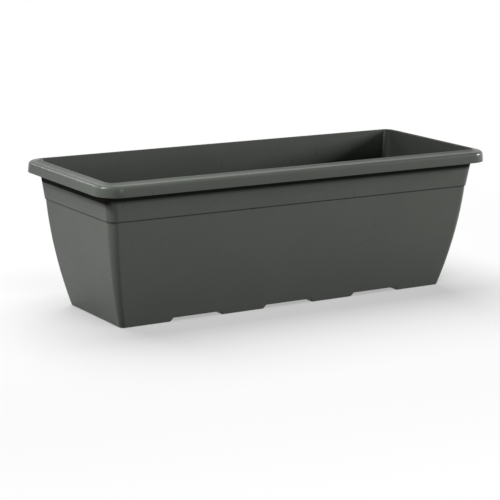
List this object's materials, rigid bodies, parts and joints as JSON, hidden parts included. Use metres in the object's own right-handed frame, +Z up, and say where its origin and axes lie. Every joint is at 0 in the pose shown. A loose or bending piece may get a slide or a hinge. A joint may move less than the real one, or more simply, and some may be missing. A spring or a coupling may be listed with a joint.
{
  "type": "window box planter",
  "caption": "Long tapered plastic window box with a folded rim, a stacking step, channelled feet, a lift-out drainage grid and push-in drain plugs.",
  "frame": {"origin": "on the ground, under the middle of the box", "axes": "+X along the length of the box, front faces -Y, +Z up"},
  "size_m": [0.5, 0.1982, 0.1622],
  "materials": {
    "anthracite_plastic": "satin moulded polypropylene",
    "black_plastic": "satin moulded polypropylene"
  },
  "bodies": {
    "planter": {"planter_box": "anthracite_plastic"},
    "grid": {"drainage_grid": "black_plastic"},
    "plug_1": {"drain_plug_1": "black_plastic"},
    "plug_2": {"drain_plug_2": "black_plastic"},
    "plug_3": {"drain_plug_3": "black_plastic"},
    "plug_4": {"drain_plug_4": "black_plastic"},
    "plug_5": {"drain_plug_5": "black_plastic"},
    "plug_6": {"drain_plug_6": "black_plastic"}
  },
  "joints": [
    {"name": "grid_lift", "type": "slide", "parent": "planter", "child": "grid", "axis": [0, 0, 1], "range_m": [0, 0.165]},
    {"name": "plug_1_pull", "type": "slide", "parent": "planter", "child": "plug_1", "axis": [0, 0, 1], "range_m": [0, 0.007]},
    {"name": "plug_2_pull", "type": "slide", "parent": "planter", "child": "plug_2", "axis": [0, 0, 1], "range_m": [0, 0.007]},
    {"name": "plug_3_pull", "type": "slide", "parent": "planter", "child": "plug_3", "axis": [0, 0, 1], "range_m": [0, 0.007]},
    {"name": "plug_4_pull", "type": "slide", "parent": "planter", "child": "plug_4", "axis": [0, 0, 1], "range_m": [0, 0.007]},
    {"name": "plug_5_pull", "type": "slide", "parent": "planter", "child": "plug_5", "axis": [0, 0, 1], "range_m": [0, 0.007]},
    {"name": "plug_6_pull", "type": "slide", "parent": "planter", "child": "plug_6", "axis": [0, 0, 1], "range_m": [0, 0.007]}
  ]
}
